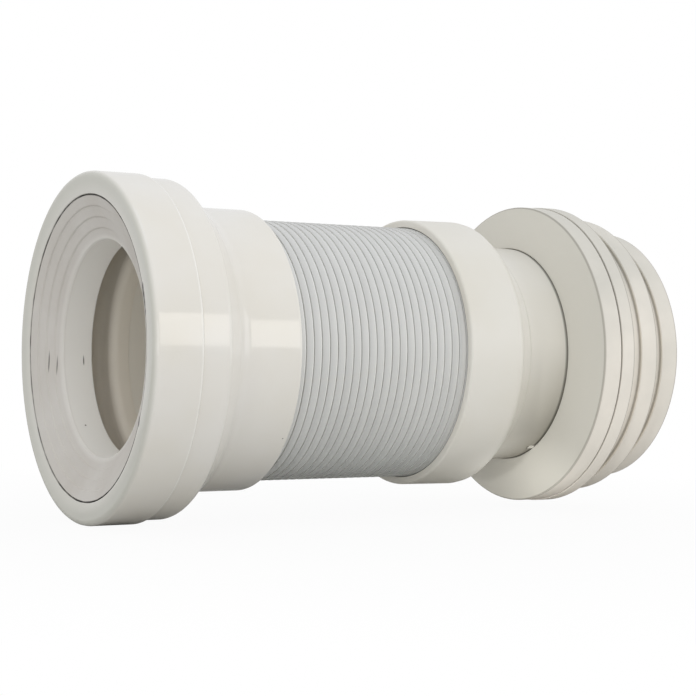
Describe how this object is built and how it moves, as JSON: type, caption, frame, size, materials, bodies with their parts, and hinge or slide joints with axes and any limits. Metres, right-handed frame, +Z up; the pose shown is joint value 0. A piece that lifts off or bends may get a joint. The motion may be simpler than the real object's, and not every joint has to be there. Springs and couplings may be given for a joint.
{
  "type": "flexible toilet pan connector",
  "caption": "Extendable waste connector for a toilet pan: a ring-capped inlet socket with a soft lip seal, a ribbed concertina hose and a plain spigot with a finned rubber seal.",
  "frame": {"origin": "centre of the inlet mouth, on the front face of the seal cap", "axes": "+X along the waterway from the inlet to the outlet, +Z up when the connector lies level"},
  "size_m": [0.2325, 0.126, 0.126],
  "materials": {
    "gloss_white": "glossy moulded polypropylene, warm off-white",
    "satin_white": "satin moulded polypropylene",
    "hose_plastic": "satin blown polypropylene, light bluish grey",
    "grey_rubber": "matte thermoplastic rubber, pale grey",
    "beige_rubber": "matte thermoplastic rubber, pale beige"
  },
  "bodies": {
    "inlet": {"seal_cap": "gloss_white", "pan_seal": "grey_rubber", "inlet_socket": "gloss_white", "bellows_hose": "hose_plastic"},
    "outlet": {"outlet_spigot": "satin_white", "outlet_fin_seal": "beige_rubber"}
  },
  "joints": [
    {"name": "hose_stretch", "type": "slide", "parent": "inlet", "child": "outlet", "axis": [1, 0, 0], "range_m": [0, 0.15], "deforming": ["bellows_hose"]}
  ]
}
